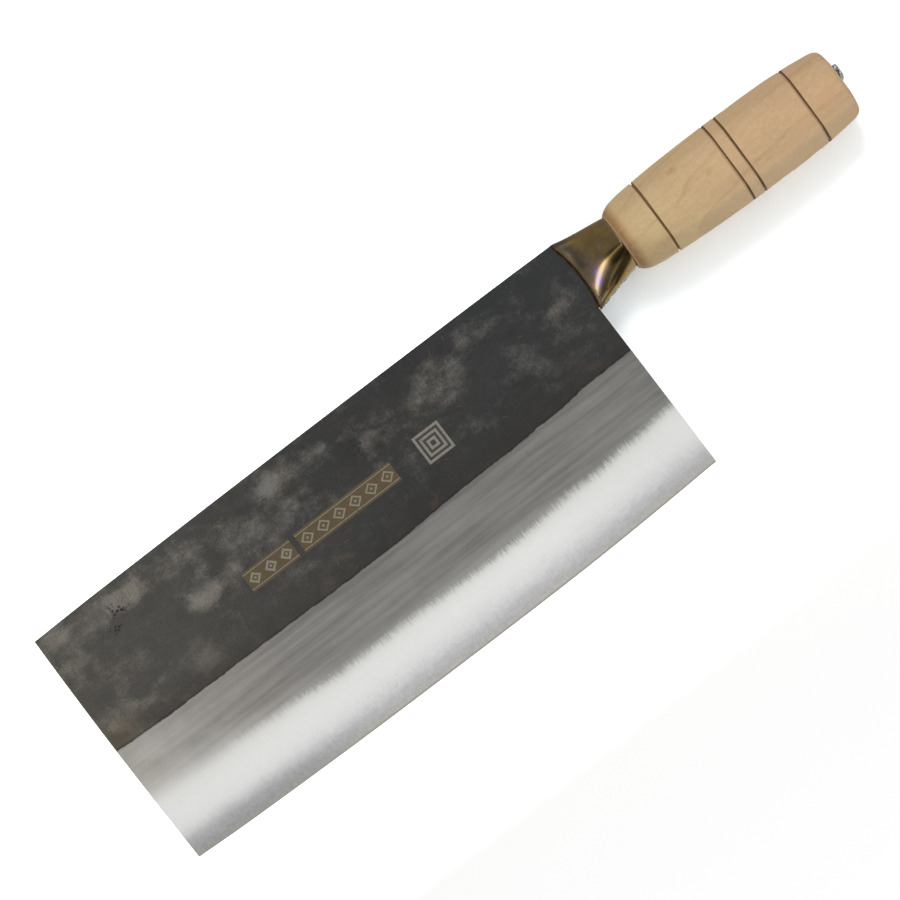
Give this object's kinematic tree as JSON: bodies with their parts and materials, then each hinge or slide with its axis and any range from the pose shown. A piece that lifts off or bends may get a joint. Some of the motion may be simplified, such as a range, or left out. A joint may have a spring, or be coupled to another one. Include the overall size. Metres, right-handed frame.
{
  "type": "meat cleaver",
  "caption": "Rigid cleaver: broad rectangular blade with black forge scale over a ground bevel, pressed steel collar and ringed wooden grip on a through tang.",
  "frame": {"origin": "under the middle of the overall length, level with the lowest point of the cutting edge, in the mid-plane of the blade", "axes": "+X along the overall length from the square tip to the butt of the grip, +Z from the cutting edge up to the spine, +Y square to the blade's faces, towards the right-hand side of someone who holds the grip and looks at the tip"},
  "size_m": [0.3371, 0.0268, 0.0959],
  "materials": {
    "forge_scale": "soft iron with black forge scale over the upper half, ground to a streaked satin below it",
    "blade_steel": "hard carbon steel, finely ground at the edge",
    "collar_steel": "polished sheet steel with heat-tint lacquer, bronze to olive",
    "weld_steel": "dark brown weld metal with spatter",
    "tang_steel": "hammered bright steel",
    "grip_wood": "turned and flatted light hardwood, unvarnished, with burnt rings"
  },
  "bodies": {
    "root": {"blade_core": "blade_steel", "blade_cladding_left": "forge_scale", "blade_cladding_right": "forge_scale", "collar": "collar_steel", "collar_seam_weld": "weld_steel", "collar_braze_left": "weld_steel", "collar_braze_right": "weld_steel", "tang": "tang_steel", "tang_weld": "weld_steel", "handle": "grip_wood"}
  },
  "joints": []
}
